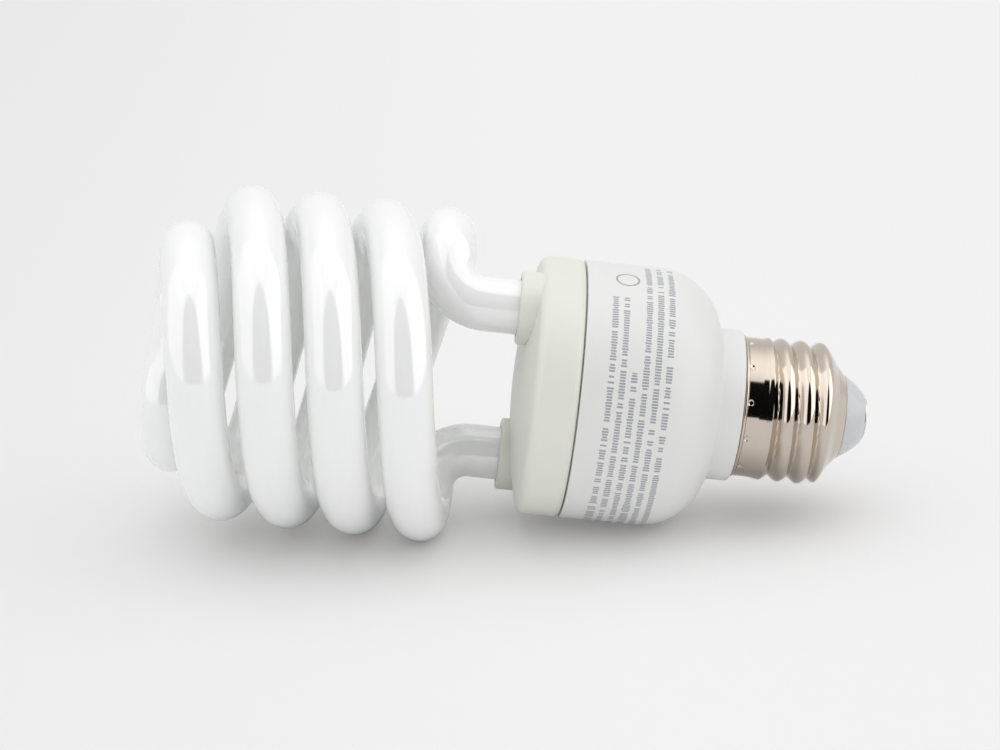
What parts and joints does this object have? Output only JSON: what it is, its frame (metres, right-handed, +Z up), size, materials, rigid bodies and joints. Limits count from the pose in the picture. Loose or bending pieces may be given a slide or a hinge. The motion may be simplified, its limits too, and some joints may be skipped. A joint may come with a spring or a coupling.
{
  "type": "spiral compact fluorescent bulb",
  "caption": "White glass tube wound as a double spiral on a domed holder, over a ballast housing with a screw cap; it lies on its side.",
  "frame": {"origin": "middle of the lying bulb's box, on the surface it lies on", "axes": "+X from the spiral's tip towards the cap, +Y to the back away from the viewer, +Z up; the bulb's axis rises 8.3 degrees towards the spiral's tip"},
  "size_m": [0.1317, 0.061, 0.0642],
  "materials": {
    "phosphor_glass": "smooth glass tube, white inside from its powder coating, opaque",
    "cement": "matt white cement",
    "case_plastic": "moulded cream white plastic, satin",
    "nickel": "thin nickel plated sheet, bright",
    "insulator": "bluish white translucent moulded insulator",
    "contact": "tinned contact button",
    "board": "tan laminate board",
    "ferrite": "dark grey sintered ferrite",
    "bobbin": "black moulded plastic",
    "magnet_wire": "enamelled copper wire, wound",
    "can_sleeve": "dark blue shrunk sleeve over an aluminium can",
    "epoxy": "black moulded epoxy",
    "film_dip": "brick red dipped coating",
    "green_disc": "dark green coating",
    "resistor_body": "tan lacquer over a ceramic rod",
    "diode_glass": "reddish glass body",
    "tinned_wire": "tinned wire"
  },
  "bodies": {
    "root": {"spiral_tube": "phosphor_glass", "tube_cement": "cement", "tube_holder": "case_plastic", "ballast_housing": "case_plastic", "screw_shell": "nickel", "end_insulator": "insulator", "centre_contact": "contact", "circuit_board": "board", "choke_core_top": "ferrite", "choke_core_bottom": "ferrite", "choke_bobbin": "bobbin", "choke_winding": "magnet_wire", "storage_capacitor": "can_sleeve", "drive_toroid": "ferrite", "drive_windings": "magnet_wire", "filter_core": "ferrite", "filter_winding": "magnet_wire", "preheat_thermistor": "green_disc", "fuse_resistor": "resistor_body", "contact_wire": "tinned_wire", "shell_wire": "tinned_wire", "transistor_a": "epoxy", "transistor_b": "epoxy", "resonant_capacitor": "film_dip", "blocking_capacitor": "film_dip", "snubber_capacitor": "film_dip", "trigger_capacitor": "film_dip", "rectifier_diode_1": "epoxy", "rectifier_diode_2": "epoxy", "rectifier_diode_3": "epoxy", "rectifier_diode_4": "epoxy", "base_resistor_1": "resistor_body", "base_resistor_2": "resistor_body", "start_resistor": "resistor_body", "emitter_resistor": "resistor_body", "bleed_resistor": "resistor_body", "trigger_diode": "diode_glass", "wrap_pin_1": "tinned_wire", "wrap_pin_2": "tinned_wire", "wrap_pin_3": "tinned_wire", "wrap_pin_4": "tinned_wire", "tube_lead_1": "tinned_wire", "tube_lead_2": "tinned_wire", "tube_lead_3": "tinned_wire", "tube_lead_4": "tinned_wire"}
  },
  "joints": []
}
